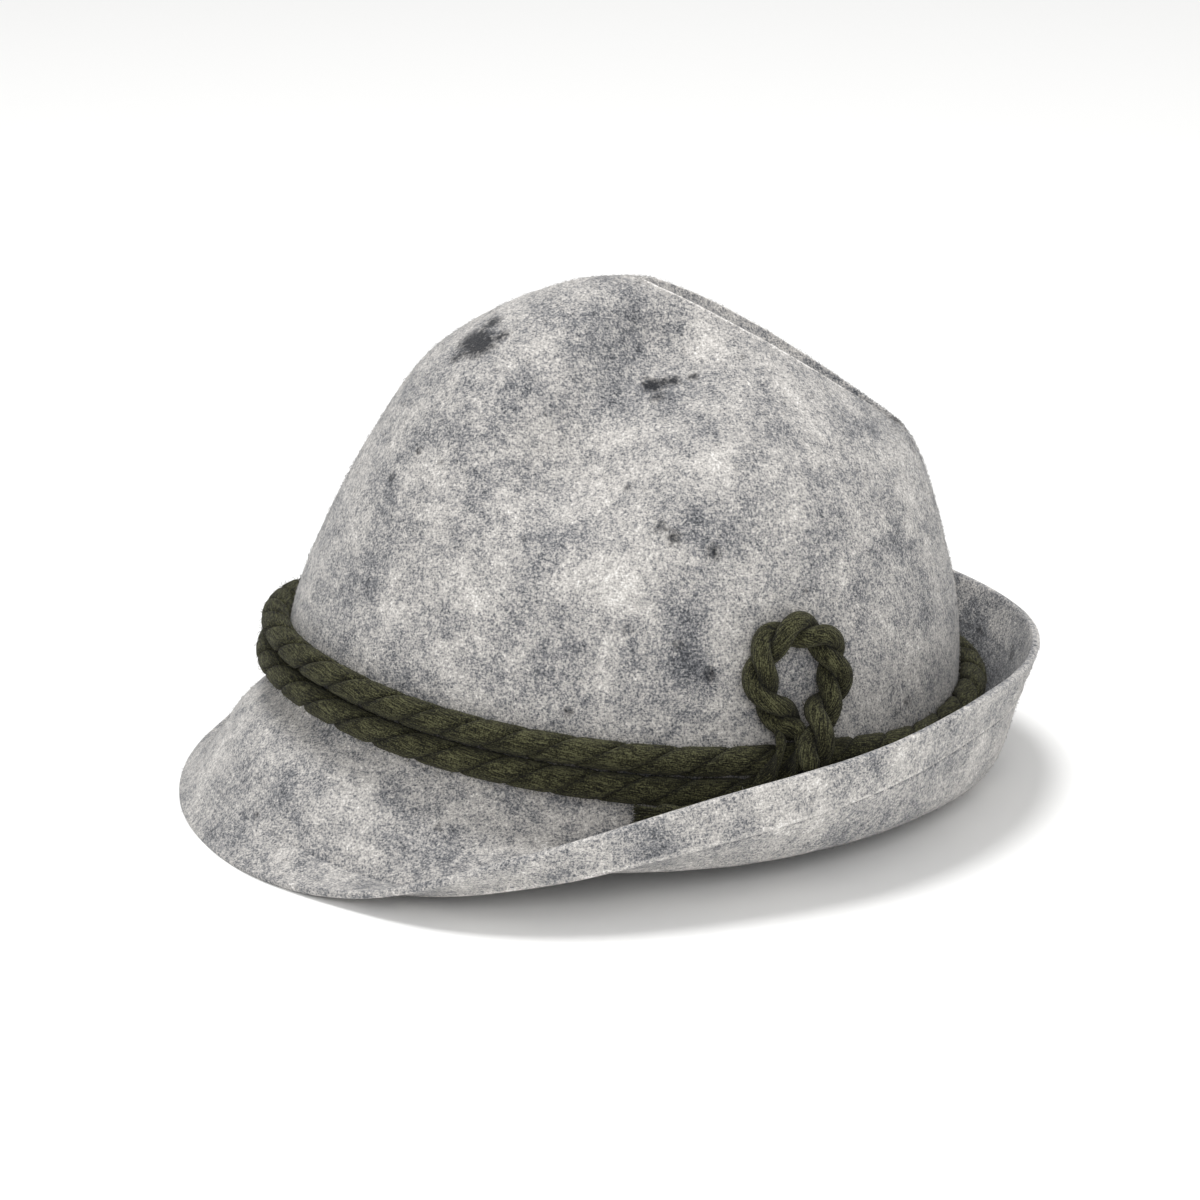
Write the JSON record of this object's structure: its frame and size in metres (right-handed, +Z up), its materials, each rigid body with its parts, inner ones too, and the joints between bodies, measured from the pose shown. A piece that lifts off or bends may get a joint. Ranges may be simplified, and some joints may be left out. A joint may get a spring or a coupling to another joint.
{
  "type": "narrow-brim alpine felt hat with twisted cord band",
  "caption": "Blocked felt hat with a creased, pinched crown, a narrow brim turned down in front and up behind, and a twisted cord band with a standing side loop.",
  "frame": {"origin": "under the middle of the hat's bounding box, on the surface that the brim rests on", "axes": "+Z up, -Y towards the front of the hat, +X towards the wearer's left, where the cord's loop stands"},
  "size_m": [0.2454, 0.2603, 0.1561],
  "materials": {
    "wool_felt": "matt mottled light grey wool felt with a short fibre speckle and scattered dark flecks",
    "wool_cord": "matt dark olive two-ply twisted wool cord, slightly fuzzy"
  },
  "bodies": {
    "root": {"felt_body": "wool_felt", "cord_upper": "wool_cord", "cord_lower": "wool_cord", "cord_loop": "wool_cord", "loop_wrap_1": "wool_cord", "loop_wrap_2": "wool_cord", "cord_tail": "wool_cord"}
  },
  "joints": []
}
